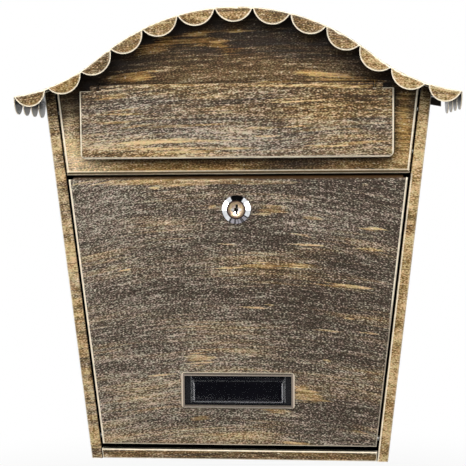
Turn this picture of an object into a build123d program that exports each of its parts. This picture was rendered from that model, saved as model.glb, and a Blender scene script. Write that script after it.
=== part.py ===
"""Wall mailbox of folded steel sheet: a leaning box, a scalloped roof, a locked door and a mail flap.

Each piece is drawn as if the box lay on its back: X to the right, Y up the wall and Z out from the wall,
with the box's bottom edge at Y = 0 and the wall at Z = 0. stand_up() turns a finished piece upright,
with the origin on the wall in the middle of the four screw holes. All sizes are in millimetres.
"""

from build123d import *
from math import asin, cos, degrees, hypot, radians, sin, sqrt, tan
import os

# Sheet and fits
SHEET = 0.8                  # steel sheet thickness
BEND = 1.6                   # outer radius of a folded edge
FIT = 0.1                    # gap between pieces that are fixed to each other
RUN = 0.06                   # radial clearance of a turning pin
TIGHT = 0.02                 # radial clearance of a pin that is held fast
PAST = 1.0                   # how far a cutting tool runs past the piece

# Box
BASE_WIDTH = 249.0           # outside width at the bottom edge
SIDE_LEAN = 6.4              # degrees by which each side leans outwards
BODY_DEPTH = 88.0            # wall to front face
STRIP = 9.3                  # front strip of a side panel
STRIP_RETURN = 10.0          # edge of that strip, folded back into the box
REAR_FLANGE = 12.0
LIP_HEIGHT = 8.3             # front lip of the bottom
LIP_HEM = 5.0                # top edge of that lip, folded back
LIP_END_GAP = 0.5            # between the lip and a strip
BOTTOM_FLANGE = 10.0

# Screw holes in the back
MOUNT_SPACING_X = 180.0
MOUNT_SPACING_Z = 220.0
MOUNT_LOW = 50.0             # height of the lower holes above the bottom edge
MOUNT_HOLE = 7.0

# Door
DOOR_HEIGHT = 225.8
DOOR_GAP = 1.6               # beside the door
DOOR_BOTTOM_GAP = 4.1
DOOR_TOP_GAP = 0.8
DOOR_FLANGE = 14.0
DOOR_TOP_BEND = 5.5          # outer radius of the door's top edge
DOOR_NOTCH = 4.0             # width of the open corner beside the top edge
DOOR_NOTCH_DEPTH = 2.4       # open corner below the top edge

# Door hinge
HINGE_UP = 6.0               # pin above the door's bottom edge
HINGE_IN = 6.0               # pin behind the door's face
PIN_RADIUS = 2.0
PIN_HEAD_RADIUS = 3.8
PIN_HEAD = 1.6
PIN_TAIL_RADIUS = 3.0
PIN_TAIL = 1.2

# Upper front panel and its rivets
PANEL_GAP = 1.0              # beside the panel
PANEL_FLANGE = 13.0
PANEL_LOW_BEND = 2.8         # outer radius of the panel's lower edge
TAB_WIDTH = 22.0             # weld tabs under the roof
TAB_DEPTH = 12.0
TAB_SPREAD = 78.0
SLOT_ABOVE_EDGE = 27.0       # mail slot above the panel's lower edge
SLOT_HEIGHT = 37.0
SLOT_CORNER = 2.0
RIVET_RADIUS = 1.6
RIVET_HEAD_RADIUS = 3.2
RIVET_HEAD = 1.1
RIVET_BULB_RADIUS = 2.3
RIVET_BULB = 2.4
RIVET_UP = 18.0              # lower rivet above the panel's lower edge
RIVET_STEP = 34.0

# Mail flap
FLAP_ABOVE_EDGE = 13.5       # flap above the panel's lower edge
FLAP_HEIGHT = 55.4
FLAP_SIDE_MARGIN = 14.6      # flap to the panel's side edge
FLAP_CORNER = 4.5
FLAP_REST_GAP = 0.4          # flap's folded edge to the panel
ROD_RADIUS = 1.5
KNUCKLE_RISE = 3.0           # hinge rod above the flap's face
KNUCKLE_INSET = 9.0          # rolled edge is this much shorter at each end
KNUCKLE_GAP = 1.7            # rolled edge to the panel
CURL_SEAM = 0.6
EAR_INSET = 16.0             # ear of the panel to the flap's end
EAR_RADIUS = 3.0
EAR_GAP = 0.7                # slit of the rolled edge beside an ear

# Roof
ROOF_OVERHANG = 14.0         # past the front face
EAVE_OVERHANG = 22.4         # past each side
EAVE_BELOW_HINGE = 6.5       # eave below the flap's hinge rod
CROWN_RADIUS = 175.0
FLARE_RADIUS = 143.0
EAVE_ANGLE = 8.0             # degrees by which the eave still falls
ROOF_FIT = 0.2               # gap under the roof sheet
FRONT_SCALLOPS = 13
FRONT_SCALLOP_DEPTH = 10.0
CORNER_TRIM = 2.0            # first and last front scallop are this much narrower
CORNER_NOTCH = 3.2           # and stand this far from their neighbour
END_SCALLOPS = 4
END_SCALLOP_DEPTH = 12.8
SCALLOP_GAP = 1.0            # between the other neighbours at the fold
WING_INSET = 4.0             # back panel's wings to the roof's end
WING_DROP = 7.0

# Name window
NAME_UP = 46.8               # middle of the opening above the door's bottom edge
NAME_WIDTH = 89.3
NAME_HEIGHT = 24.7
RIM_WIDTH = 2.3              # raised rim round the opening
RIM_OUT = 1.0
HOLDER_LAP = 4.5             # holder behind the door, past the opening
GASKET = 0.6
GASKET_INSET = 0.4
HOLDER_FLOOR = 1.2
CARD = 0.35
CARD_ROOM = 0.55
PANE_FLANGE = 0.8            # edge of the clear pane, in the holder's grooves
PANE_GROOVE = 2.8
PANE_SIDE = 5.1              # raised pane to the side of the opening
PANE_LOW = 1.4               # raised pane above the opening's lower edge
PANE_HEIGHT = 20.8
PANE_RISE = 1.2
PANE_BEVEL = 2.8
PANE_EDGE = 0.3              # what the bevel leaves of the raised pane's edge
HOLDER_LIP = 1.0

# Cam lock
LOCK_BELOW_TOP = 27.9        # lock's middle below the door's top edge
BEZEL_RADIUS = 11.7
BEZEL_FACE_RADIUS = 7.9
BEZEL_EDGE = 0.8
BEZEL_HEIGHT = 3.4
BARREL_RADIUS = 9.5
BARREL_FLAT = 8.5
PLUG_RADIUS = 6.4
PLUG_HEAD_RADIUS = 7.4
PLUG_HEAD = 2.6
PLUG_SUNK = 0.6              # plug's face behind the bezel's face
DISH_RADIUS = 5.4
DISH_DEPTH = 1.0
KEYWAY_HEIGHT = 8.4
KEYWAY_WIDTH = 1.7
KEYWAY_JOG = 0.65
WAFERS = 5
WAFER = 0.7
WAFER_WIDTH = 5.0
WAFER_RIM = 1.1
FIRST_WAFER = 4.6            # middle of the first wafer behind the plug's face
LAST_WAFER = 1.2             # middle of the last wafer before the screw's end
WAFER_SHY = 0.4              # wafer's ends inside the plug
NUT_FLATS = 24.0
NUT = 3.5
WASHER_RADIUS = 12.6
WASHER = 0.8
CAM_CLEAR = 1.2              # cam behind the panel's folded edge
CAM = 2.0
CAM_WIDTH = 16.0
CAM_TIP_WIDTH = 11.0
CAM_OVERLAP = 8.0            # cam above the panel's lower edge when locked
BARREL_SHY = 0.3             # barrel's end to the cam
TAIL_SQUARE = 7.0
SCREW_RADIUS = 2.0
SCREW_LENGTH = 6.0
SCREW_HEAD_RADIUS = 4.2
SCREW_HEAD = 3.0
SCREW_SLOT = 1.0
CAM_WASHER_RADIUS = 5.5
CAM_WASHER = 1.0

# Heights that follow from these
LEAN = tan(radians(SIDE_LEAN))
DOOR_LOW = LIP_HEIGHT + DOOR_BOTTOM_GAP
DOOR_HIGH = DOOR_LOW + DOOR_HEIGHT
PANEL_LOW = DOOR_HIGH + DOOR_TOP_GAP
FLAP_LOW = PANEL_LOW + FLAP_ABOVE_EDGE
FLAP_HIGH = FLAP_LOW + FLAP_HEIGHT
FLAP_AXIS_Y = FLAP_HIGH + KNUCKLE_RISE
EAVE_Y = FLAP_AXIS_Y - EAVE_BELOW_HINGE
LOCK_Y = DOOR_HIGH - LOCK_BELOW_TOP
NAME_Y = DOOR_LOW + NAME_UP
HINGE_Y = DOOR_LOW + HINGE_UP
MOUNT_Y = MOUNT_LOW + MOUNT_SPACING_Z / 2

# Depths that follow
HINGE_Z = BODY_DEPTH - HINGE_IN
KNUCKLE_RADIUS = ROD_RADIUS + TIGHT + SHEET
FLAP_AXIS_Z = BODY_DEPTH + KNUCKLE_GAP + KNUCKLE_RADIUS
FLAP_FACE = FLAP_AXIS_Z + KNUCKLE_RADIUS
ROOF_DEPTH = BODY_DEPTH + ROOF_OVERHANG
CAM_FRONT = BODY_DEPTH - PANEL_FLANGE - CAM_CLEAR
PLUG_FACE = BODY_DEPTH + BEZEL_HEIGHT - PLUG_SUNK
SCREW_SEAT = CAM_FRONT - CAM - CAM_WASHER
SCREW_END = SCREW_SEAT + SCREW_LENGTH


def body_half(height):
    """Half the box's outside width at a height."""
    return BASE_WIDTH / 2 + height * LEAN


def frame_half(height):
    """Half the clear width between the front strips at a height."""
    return body_half(height) - STRIP


FLAP_HALF = frame_half(FLAP_LOW) - PANEL_GAP - FLAP_SIDE_MARGIN
KNUCKLE_HALF = FLAP_HALF - KNUCKLE_INSET
EAR_HALF = FLAP_HALF - EAR_INSET

# Roof line, from its crown arc over the steepest point to the flared eave arc
ROOF_HALF = body_half(EAVE_Y) + EAVE_OVERHANG
EAVE_SIN = sin(radians(EAVE_ANGLE))
EAVE_COS = cos(radians(EAVE_ANGLE))
EAVE_X = ROOF_HALF - BEND * (1 - EAVE_SIN)
STEEP = degrees(asin((EAVE_X + FLARE_RADIUS * EAVE_SIN) / (CROWN_RADIUS + FLARE_RADIUS)))
STEEP_COS = cos(radians(STEEP))
FLARE_CENTRE = (EAVE_X + FLARE_RADIUS * EAVE_SIN, EAVE_Y + FLARE_RADIUS * EAVE_COS)
CROWN_CENTRE = (0.0, FLARE_CENTRE[1] - (CROWN_RADIUS + FLARE_RADIUS) * STEEP_COS)
ROOF_TOP = CROWN_CENTRE[1] + CROWN_RADIUS
END_BEND_CENTRE = (ROOF_HALF - BEND, EAVE_Y - BEND * EAVE_COS)


def mirrored(piece):
    """The same piece on the left side."""
    return mirror(piece, about=Plane.YZ)


def both_sides(piece):
    return piece + mirrored(piece)


def block(x_range, y_range, z_range):
    """A box between two values on each axis."""
    spans = [high - low for low, high in (x_range, y_range, z_range)]
    middles = [(low + high) / 2 for low, high in (x_range, y_range, z_range)]
    return Pos(*middles) * Box(*spans)


def prism(face, z_low, z_high):
    return Pos(0, 0, z_low) * extrude(face, z_high - z_low, dir=(0, 0, 1))


def leaning_face(half_width, low, high):
    """A face whose two sides lean with the box; half_width gives half its width at a height."""
    at_low = half_width(low)
    at_high = half_width(high)
    return Polygon((-at_low, low), (at_low, low), (at_high, high), (-at_high, high), align=None)


def front_edges(solid):
    """The edges round the outermost flat face, from the lowest to the highest."""
    return solid.faces().sort_by(Axis.Z)[-1].edges().sort_by(Axis.Y)


def cross_rod(radius, x_range, y, z):
    """A cylinder along X."""
    low, high = x_range
    return Pos((low + high) / 2, y, z) * Rot(0, 90, 0) * Cylinder(radius, high - low)


def disc(radius, z_low, z_high, x=0.0, y=0.0):
    """A cylinder along Z."""
    return Pos(x, y, (z_low + z_high) / 2) * Cylinder(radius, z_high - z_low)


def folded_section(points, side):
    """The section of one sheet folded along the points, which lie on its outer face."""
    return make_face(offset(FilletPolyline(*points, radius=BEND), amount=SHEET, side=side))


def roof_arcs(inset):
    """The roof line from the right eave to the left, moved into the sheet by inset."""
    sweep = STEEP - EAVE_ANGLE
    left_centre = (-FLARE_CENTRE[0], FLARE_CENTRE[1])
    right = CenterArc(FLARE_CENTRE, FLARE_RADIUS + inset, 270 - EAVE_ANGLE, -sweep)
    crown = CenterArc(CROWN_CENTRE, CROWN_RADIUS - inset, 90 - STEEP, 2 * STEEP)
    left = CenterArc(left_centre, FLARE_RADIUS + inset, 270 + STEEP, -sweep)
    return [right, crown, left]


def under_roof(inset):
    """All the space below the roof line, moved down by inset."""
    arcs = roof_arcs(inset)
    right_end = arcs[0] @ 0
    left_end = arcs[-1] @ 1
    floor = -PAST
    left_wall = Line(left_end, (left_end.X, floor))
    ground = Line((left_end.X, floor), (right_end.X, floor))
    right_wall = Line((right_end.X, floor), right_end)
    return prism(make_face(arcs + [left_wall, ground, right_wall]), -PAST, ROOF_DEPTH + PAST)


UNDER_SHEET = under_roof(SHEET + ROOF_FIT)


def roof_point(distance):
    """The point of the fold line at a distance along it from the middle of the roof."""
    crown_length = (CROWN_RADIUS - BEND) * radians(STEEP)
    if abs(distance) <= crown_length:
        angle = distance / (CROWN_RADIUS - BEND)
        radius = CROWN_RADIUS - BEND
        return Vector(radius * sin(angle), CROWN_CENTRE[1] + radius * cos(angle))
    side = 1 if distance > 0 else -1
    radius = FLARE_RADIUS + BEND
    angle = radians(STEEP) - (abs(distance) - crown_length) / radius
    return Vector(side * (FLARE_CENTRE[0] - radius * sin(angle)), FLARE_CENTRE[1] - radius * cos(angle))


def scallop_radius(chord, depth):
    return (chord ** 2 / 4 + depth ** 2) / (2 * depth)


def roof_sheet():
    """The curved sheet with its two end folds, up to the fold at the front."""
    loops = []
    for inset in (0, SHEET):
        flare_right, crown, flare_left = roof_arcs(inset)
        low = END_BEND_CENTRE[1] - END_SCALLOP_DEPTH
        fold_right = CenterArc(END_BEND_CENTRE, BEND - inset, 0, 90 - EAVE_ANGLE)
        left_centre = (-END_BEND_CENTRE[0], END_BEND_CENTRE[1])
        fold_left = CenterArc(left_centre, BEND - inset, 90 + EAVE_ANGLE, 90 - EAVE_ANGLE)
        drop_right = Line((ROOF_HALF - inset, low), (ROOF_HALF - inset, END_BEND_CENTRE[1]))
        drop_left = Line((-ROOF_HALF + inset, END_BEND_CENTRE[1]), (-ROOF_HALF + inset, low))
        loops.append([drop_right, fold_right, flare_right, crown, flare_left, fold_left, drop_left])
    outer, inner = loops
    edges = outer + inner + [Line(outer[0] @ 0, inner[0] @ 0), Line(outer[-1] @ 1, inner[-1] @ 1)]
    return prism(make_face(edges), 0, ROOF_DEPTH - BEND)


def end_scallop_cutter():
    """What the right end fold loses between its scallops."""
    pitch = (ROOF_DEPTH - BEND) / END_SCALLOPS
    radius = scallop_radius(pitch - SCALLOP_GAP, END_SCALLOP_DEPTH)
    top = END_BEND_CENTRE[1]
    x_range = (ROOF_HALF - SHEET - PAST, ROOF_HALF + PAST)
    cutter = block(x_range, (top - END_SCALLOP_DEPTH - PAST, top), (-PAST, ROOF_DEPTH))
    for index in range(END_SCALLOPS):
        cutter -= cross_rod(radius, x_range, top + radius - END_SCALLOP_DEPTH, (index + 0.5) * pitch)
    return cutter


def front_fold():
    """The rounded fold along the roof's front edge, one turn for each arc of the roof line."""
    def fold_section(outer_y):
        centre = (outer_y - BEND, ROOF_DEPTH - BEND)
        outer = CenterArc(centre, BEND, 0, 90)
        inner = CenterArc(centre, BEND - SHEET, 0, 90)
        ends = [Line(outer @ 0, inner @ 0), Line(outer @ 1, inner @ 1)]
        return Plane.YZ * make_face([outer, inner] + ends)

    crown_axis = Axis((*CROWN_CENTRE, 0), (0, 0, 1))
    crown = revolve(fold_section(ROOF_TOP).rotate(crown_axis, -STEEP), crown_axis, 2 * STEEP)
    flare_axis = Axis((*FLARE_CENTRE, 0), (0, 0, 1))
    flare_section = Pos(FLARE_CENTRE[0], 0, 0) * fold_section(FLARE_CENTRE[1] - FLARE_RADIUS)
    flare = revolve(flare_section.rotate(flare_axis, -STEEP), flare_axis, STEEP - EAVE_ANGLE)
    return crown + both_sides(flare)


def front_scallops():
    """The row of flat round tabs that hangs from the front fold."""
    crown_length = (CROWN_RADIUS - BEND) * radians(STEEP)
    half_length = crown_length + (FLARE_RADIUS + BEND) * radians(STEEP - EAVE_ANGLE)
    pitch = 2 * (half_length + CORNER_TRIM) / FRONT_SCALLOPS
    last = FRONT_SCALLOPS - 1
    below_fold = under_roof(BEND)
    row = Part()
    for index in range(FRONT_SCALLOPS):
        near = index * pitch - CORNER_TRIM - half_length
        far = near + pitch
        near += CORNER_TRIM if index == 0 else SCALLOP_GAP / 2
        far -= CORNER_TRIM if index == last else SCALLOP_GAP / 2
        near += CORNER_NOTCH - SCALLOP_GAP if index == last else 0
        far -= CORNER_NOTCH - SCALLOP_GAP if index == 0 else 0
        start = roof_point(near)
        end = roof_point(far)
        along = (end - start).normalized()
        outward = Vector(-along.Y, along.X)
        radius = scallop_radius((end - start).length, FRONT_SCALLOP_DEPTH)
        centre = (start + end) / 2 + outward * (radius - FRONT_SCALLOP_DEPTH)
        row += disc(radius, ROOF_DEPTH - SHEET, ROOF_DEPTH, centre.X, centre.Y) & below_fold
    return row


def roof():
    return roof_sheet() - both_sides(end_scallop_cutter()) + front_fold() + front_scallops()


def back_panel():
    """The flat back, wider under the eaves."""
    wing_half = ROOF_HALF - WING_INSET
    body = prism(leaning_face(body_half, 0, ROOF_TOP), 0, SHEET) & UNDER_SHEET
    wings = UNDER_SHEET - under_roof(SHEET + ROOF_FIT + WING_DROP)
    wings &= block((-wing_half, wing_half), (0, ROOF_TOP), (0, SHEET))
    holes = Part()
    for x in (-MOUNT_SPACING_X / 2, MOUNT_SPACING_X / 2):
        for y in (MOUNT_LOW, MOUNT_LOW + MOUNT_SPACING_Z):
            holes += disc(MOUNT_HOLE / 2, -PAST, SHEET + PAST, x, y)
    return body + wings - holes


def pin_axis(radius, x_range):
    """A cylinder on the door's hinge axis."""
    return cross_rod(radius, x_range, HINGE_Y, HINGE_Z)


def side_panel():
    """The right side: rear flange, wall, front strip and the strip's folded edge."""
    wall = BASE_WIDTH / 2
    edge = wall - STRIP
    points = [
        (wall - REAR_FLANGE, SHEET),
        (wall, SHEET),
        (wall, BODY_DEPTH),
        (edge, BODY_DEPTH),
        (edge, BODY_DEPTH - STRIP_RETURN),
    ]
    section = Plane.XZ * folded_section(points, Side.LEFT)
    panel = extrude(section, ROOF_TOP * hypot(1, LEAN), dir=(LEAN, 1, 0)) & UNDER_SHEET
    edge_x = frame_half(HINGE_Y)
    pin_hole = pin_axis(PIN_RADIUS + TIGHT, (edge_x - PAST, edge_x + SHEET + PAST))
    return panel - pin_hole - panel_rivets(RIVET_RADIUS + TIGHT, shank_only=True)


def bottom_panel():
    """The floor with its rear and side flanges and the front lip."""
    points = [
        (BOTTOM_FLANGE, SHEET),
        (0, SHEET),
        (0, BODY_DEPTH),
        (LIP_HEIGHT, BODY_DEPTH),
        (LIP_HEIGHT, BODY_DEPTH - LIP_HEM),
    ]
    half = body_half(BOTTOM_FLANGE)
    floor = extrude(Plane.YZ * folded_section(points, Side.RIGHT), half, both=True)
    tall = max(BOTTOM_FLANGE, LIP_HEIGHT) + PAST

    def between_walls(inset):
        return leaning_face(lambda height: body_half(height) - SHEET - FIT - inset, -PAST, tall)

    inside = prism(between_walls(0), 0, BODY_DEPTH + PAST)
    rear_end = 2 * SHEET + BEND
    strip_end = BODY_DEPTH - STRIP_RETURN - LIP_END_GAP
    flanges = prism(between_walls(0) - between_walls(SHEET), rear_end, strip_end)
    flanges &= block((-2 * half, 2 * half), (0, BOTTOM_FLANGE), (0, BODY_DEPTH))
    between_flanges = leaning_face(lambda height: body_half(height) - REAR_FLANGE - LIP_END_GAP, -PAST, tall)
    between_strips = leaning_face(lambda height: frame_half(height) - LIP_END_GAP, -PAST, tall)
    beside_rear = prism(between_walls(-PAST) - between_flanges, 0, rear_end)
    beside_lip = prism(between_walls(-PAST) - between_strips, strip_end, BODY_DEPTH + PAST)
    return (floor & inside) - beside_rear - beside_lip + flanges


def folded_sheet(half_width, y_range, end_bends, flange):
    """A front sheet with all its edges folded back; end_bends are its lower and upper outer radius."""
    low, high = y_range
    reach = half_width(high) + PAST

    def form(inset, z_low):
        z_range = (z_low, BODY_DEPTH - inset)
        face = leaning_face(lambda height: half_width(height) - inset, low - PAST, high + PAST)
        sides = prism(face, *z_range)
        sides = fillet(front_edges(sides)[1:-1], BEND - inset)
        ends = block((-reach, reach), (low + inset, high - inset), z_range)
        ends = fillet(front_edges(ends)[0], end_bends[0] - inset)
        ends = fillet(front_edges(ends)[-1], end_bends[1] - inset)
        return sides & ends

    return form(0, BODY_DEPTH - flange) - form(SHEET, BODY_DEPTH - flange - PAST)


def panel_rivets(shank_radius, shank_only=False):
    """The two rivets that hold the upper front panel to the right side's folded strip."""
    inner = -(PANEL_GAP + SHEET) * cos(radians(SIDE_LEAN))
    outer = SHEET * cos(radians(SIDE_LEAN))
    rivets = Part()
    for step in range(2):
        height = PANEL_LOW + RIVET_UP + step * RIVET_STEP
        origin = (frame_half(height), height, BODY_DEPTH - STRIP_RETURN / 2 - SHEET)
        place = Location(Plane(origin, x_dir=(0, 0, 1), z_dir=(1, -LEAN, 0)))
        rivet = disc(shank_radius, inner - PAST * shank_only, outer + PAST * shank_only)
        if not shank_only:
            head = disc(RIVET_HEAD_RADIUS, inner - RIVET_HEAD, inner)
            rivet += fillet(head.edges().sort_by(Axis.Z)[0], RIVET_HEAD / 2)
            rivet += disc(RIVET_BULB_RADIUS, outer, outer + RIVET_BULB)
        rivets += place * rivet
    return rivets


def front_panel_rivets():
    return both_sides(panel_rivets(RIVET_RADIUS))


def panel_ear():
    """The right lug of the panel that carries the flap's rod."""
    x_range = (EAR_HALF, EAR_HALF + SHEET)
    y_range = (FLAP_AXIS_Y - EAR_RADIUS, FLAP_AXIS_Y + EAR_RADIUS)
    arm = block(x_range, y_range, (BODY_DEPTH - SHEET, FLAP_AXIS_Z))
    ear = arm + cross_rod(EAR_RADIUS, x_range, FLAP_AXIS_Y, FLAP_AXIS_Z)
    hole_range = (EAR_HALF - PAST, EAR_HALF + SHEET + PAST)
    return ear - cross_rod(ROD_RADIUS + RUN, hole_range, FLAP_AXIS_Y, FLAP_AXIS_Z)


def upper_front_panel():
    """The fixed front above the door: mail slot, ears for the flap's rod, weld tabs under the roof."""
    def panel_half(height):
        return frame_half(height) - PANEL_GAP

    past_roof = ROOF_TOP + BEND + PAST
    panel = folded_sheet(panel_half, (PANEL_LOW, past_roof), (PANEL_LOW_BEND, BEND), PANEL_FLANGE)
    panel &= UNDER_SHEET
    band = UNDER_SHEET - under_roof(2 * SHEET + ROOF_FIT)
    for x in (-TAB_SPREAD, 0, TAB_SPREAD):
        x_range = (x - TAB_WIDTH / 2, x + TAB_WIDTH / 2)
        panel += band & block(x_range, (EAVE_Y, ROOF_TOP), (BODY_DEPTH - TAB_DEPTH, BODY_DEPTH - SHEET))
    through = (BODY_DEPTH - SHEET - PAST, BODY_DEPTH + PAST)
    slot_low = PANEL_LOW + SLOT_ABOVE_EDGE
    slot = block((-EAR_HALF, EAR_HALF), (slot_low, slot_low + SLOT_HEIGHT), through)
    slot = fillet(slot.edges().filter_by(Axis.Z), SLOT_CORNER)
    ear_blank = FLAP_AXIS_Z - BODY_DEPTH + EAR_RADIUS
    blank_range = (FLAP_AXIS_Y - EAR_RADIUS - FIT, FLAP_AXIS_Y + EAR_RADIUS + FIT)
    ear_window = block((EAR_HALF - ear_blank, EAR_HALF), blank_range, through)
    rivet_holes = panel_rivets(RIVET_RADIUS + TIGHT, shank_only=True)
    return panel - slot - both_sides(ear_window) - both_sides(rivet_holes) + both_sides(panel_ear())


def mail_flap():
    """The flap: a shallow tray hung from a rolled top edge."""
    def tray(inset, z_low, z_high, high):
        half = FLAP_HALF - inset
        solid = block((-half, half), (FLAP_LOW + inset, high), (z_low, z_high))
        corners = solid.edges().filter_by(Axis.Z).sort_by(Axis.Y)[:2]
        solid = fillet(corners, FLAP_CORNER - inset)
        return fillet(front_edges(solid)[:-1], BEND - inset)

    outer = tray(0, BODY_DEPTH + FLAP_REST_GAP, FLAP_FACE, FLAP_HIGH)
    inner = tray(SHEET, BODY_DEPTH + FLAP_REST_GAP - PAST, FLAP_FACE - SHEET, FLAP_HIGH + PAST)
    span = (-KNUCKLE_HALF, KNUCKLE_HALF)
    neck = block(span, (FLAP_HIGH, FLAP_AXIS_Y), (FLAP_FACE - SHEET, FLAP_FACE))
    curl = cross_rod(KNUCKLE_RADIUS, span, FLAP_AXIS_Y, FLAP_AXIS_Z)
    bore = cross_rod(ROD_RADIUS + TIGHT, span, FLAP_AXIS_Y, FLAP_AXIS_Z)
    seam_low = FLAP_AXIS_Y - KNUCKLE_RADIUS - PAST
    seam = block(span, (seam_low, FLAP_AXIS_Y), (FLAP_FACE - SHEET - CURL_SEAM, FLAP_FACE - SHEET))
    slit_x = (EAR_HALF - EAR_GAP, EAR_HALF + SHEET + EAR_GAP)
    slit_y = (FLAP_HIGH, FLAP_AXIS_Y + KNUCKLE_RADIUS + PAST)
    slit = block(slit_x, slit_y, (BODY_DEPTH, FLAP_FACE + PAST))
    return outer - inner + (neck + (curl - seam) - bore - both_sides(slit))


def flap_hinge_rod():
    half = KNUCKLE_HALF - FIT
    return cross_rod(ROD_RADIUS, (-half, half), FLAP_AXIS_Y, FLAP_AXIS_Z)


def door_half(height):
    """Half the door's width at a height."""
    return frame_half(height) - DOOR_GAP


def name_frame(grow, z_low, z_high):
    """A plate of the name opening's size, larger by grow on every side."""
    half_width = NAME_WIDTH / 2 + grow
    half_height = NAME_HEIGHT / 2 + grow
    y_range = (NAME_Y - half_height, NAME_Y + half_height)
    return block((-half_width, half_width), y_range, (z_low, z_high))


def barrel_section(clearance, z_low, z_high):
    """The lock's barrel with its two flats."""
    flat = BARREL_FLAT + clearance
    reach = BARREL_RADIUS + clearance
    sides = block((-flat, flat), (LOCK_Y - reach, LOCK_Y + reach), (z_low, z_high))
    return disc(reach, z_low, z_high, 0, LOCK_Y) & sides


def door_panel():
    """The door: all four edges folded back, open top corners, a rimmed name opening and a lock hole."""
    leaf = folded_sheet(door_half, (DOOR_LOW, DOOR_HIGH), (BEND, DOOR_TOP_BEND), DOOR_FLANGE)
    notch_low = DOOR_HIGH - DOOR_NOTCH_DEPTH
    corner = block(
        (door_half(notch_low) - DOOR_NOTCH, door_half(DOOR_HIGH) + PAST),
        (notch_low, DOOR_HIGH + PAST),
        (BODY_DEPTH - DOOR_FLANGE - PAST, BODY_DEPTH + PAST))
    rim = name_frame(RIM_WIDTH, BODY_DEPTH - SHEET, BODY_DEPTH + RIM_OUT)
    rim = fillet(rim.edges().filter_by(Axis.Z), RIM_WIDTH)
    rim = fillet(front_edges(rim), RIM_OUT / 2)
    opening = name_frame(0, BODY_DEPTH - SHEET - PAST, BODY_DEPTH + RIM_OUT + PAST)
    lock_hole = barrel_section(FIT, BODY_DEPTH - SHEET - PAST, BODY_DEPTH + PAST)
    flange_x = door_half(HINGE_Y)
    pin_hole = pin_axis(PIN_RADIUS + RUN, (flange_x - SHEET - PAST, flange_x + PAST))
    return leaf - both_sides(corner) + rim - opening - lock_hole - both_sides(pin_hole)


def door_hinge_pin():
    """The right hinge pin: head inside the door, shank through both folds, tail behind the strip."""
    flange = door_half(HINGE_Y) - SHEET
    head_face = flange - LEAN * PIN_HEAD_RADIUS - FIT
    tail_face = frame_half(HINGE_Y) + SHEET + LEAN * PIN_TAIL_RADIUS + FIT
    pin = pin_axis(PIN_RADIUS, (head_face, tail_face))
    pin += pin_axis(PIN_HEAD_RADIUS, (head_face - PIN_HEAD, head_face))
    return pin + pin_axis(PIN_TAIL_RADIUS, (tail_face, tail_face + PIN_TAIL))


# Layers of the name holder, from the door inwards
GASKET_BACK = BODY_DEPTH - SHEET - GASKET
PANE_SEAT = GASKET_BACK - HOLDER_LIP
CARD_FRONT = PANE_SEAT - FIT - PANE_FLANGE
CARD_BACK = CARD_FRONT - CARD_ROOM
HOLDER_BACK = CARD_BACK - HOLDER_FLOOR
PANE_HALF = NAME_WIDTH / 2 - PANE_SIDE
PANE_BOTTOM = NAME_Y - NAME_HEIGHT / 2 + PANE_LOW
HOLDER_TOP = NAME_Y + NAME_HEIGHT / 2 + HOLDER_LAP


def name_gasket():
    """The adhesive foam frame between the door and the holder."""
    return name_frame(HOLDER_LAP, GASKET_BACK, BODY_DEPTH - SHEET) - name_frame(
        GASKET_INSET, GASKET_BACK - PAST, BODY_DEPTH)


def name_holder():
    """The black holder: a floor, and grooved rails at both sides, open at the top."""
    holder = name_frame(HOLDER_LAP, HOLDER_BACK, GASKET_BACK)
    groove_half = PANE_HALF + PANE_GROOVE + FIT
    y_range = (PANE_BOTTOM - FIT, HOLDER_TOP + PAST)
    groove = block((-groove_half, groove_half), y_range, (CARD_BACK, PANE_SEAT))
    front = block((-PANE_HALF - FIT, PANE_HALF + FIT), y_range, (CARD_BACK, GASKET_BACK + PAST))
    return holder - groove - front


def name_window():
    """The clear pane: a thin flange in the grooves and a raised middle with bevelled edges."""
    half = PANE_HALF + PANE_GROOVE
    flange = block((-half, half), (PANE_BOTTOM, HOLDER_TOP), (CARD_FRONT, CARD_FRONT + PANE_FLANGE))
    raised_z = (CARD_FRONT + PANE_FLANGE, CARD_FRONT + PANE_FLANGE + PANE_RISE)
    raised = block((-PANE_HALF, PANE_HALF), (PANE_BOTTOM, PANE_BOTTOM + PANE_HEIGHT), raised_z)
    face = raised.faces().sort_by(Axis.Z)[-1]
    return flange + chamfer(face.edges(), PANE_BEVEL, PANE_RISE - PANE_EDGE, reference=face)


def name_card():
    half = PANE_HALF + PANE_GROOVE
    card_low = CARD_BACK + (CARD_ROOM - CARD) / 2
    return block((-half, half), (PANE_BOTTOM, HOLDER_TOP), (card_low, card_low + CARD))


def lock_housing():
    """The bezel on the door's face and the barrel behind it."""
    face = BODY_DEPTH + BEZEL_HEIGHT
    edge = disc(BEZEL_RADIUS, BODY_DEPTH, BODY_DEPTH + BEZEL_EDGE, 0, LOCK_Y)
    cone_height = BEZEL_HEIGHT - BEZEL_EDGE
    cone = Pos(0, LOCK_Y, BODY_DEPTH + BEZEL_EDGE + cone_height / 2) * Cone(
        BEZEL_RADIUS, BEZEL_FACE_RADIUS, cone_height)
    housing = edge + cone + barrel_section(0, CAM_FRONT + BARREL_SHY, BODY_DEPTH)
    housing -= disc(PLUG_RADIUS + RUN, CAM_FRONT, face + PAST, 0, LOCK_Y)
    return housing - disc(PLUG_HEAD_RADIUS + RUN, PLUG_FACE - PLUG_HEAD - RUN, face + PAST, 0, LOCK_Y)


def lock_washer():
    ring_front = BODY_DEPTH - SHEET
    return disc(WASHER_RADIUS, ring_front - WASHER, ring_front, 0, LOCK_Y) - disc(
        BARREL_RADIUS + FIT, ring_front - WASHER - PAST, ring_front + PAST, 0, LOCK_Y)


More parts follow.
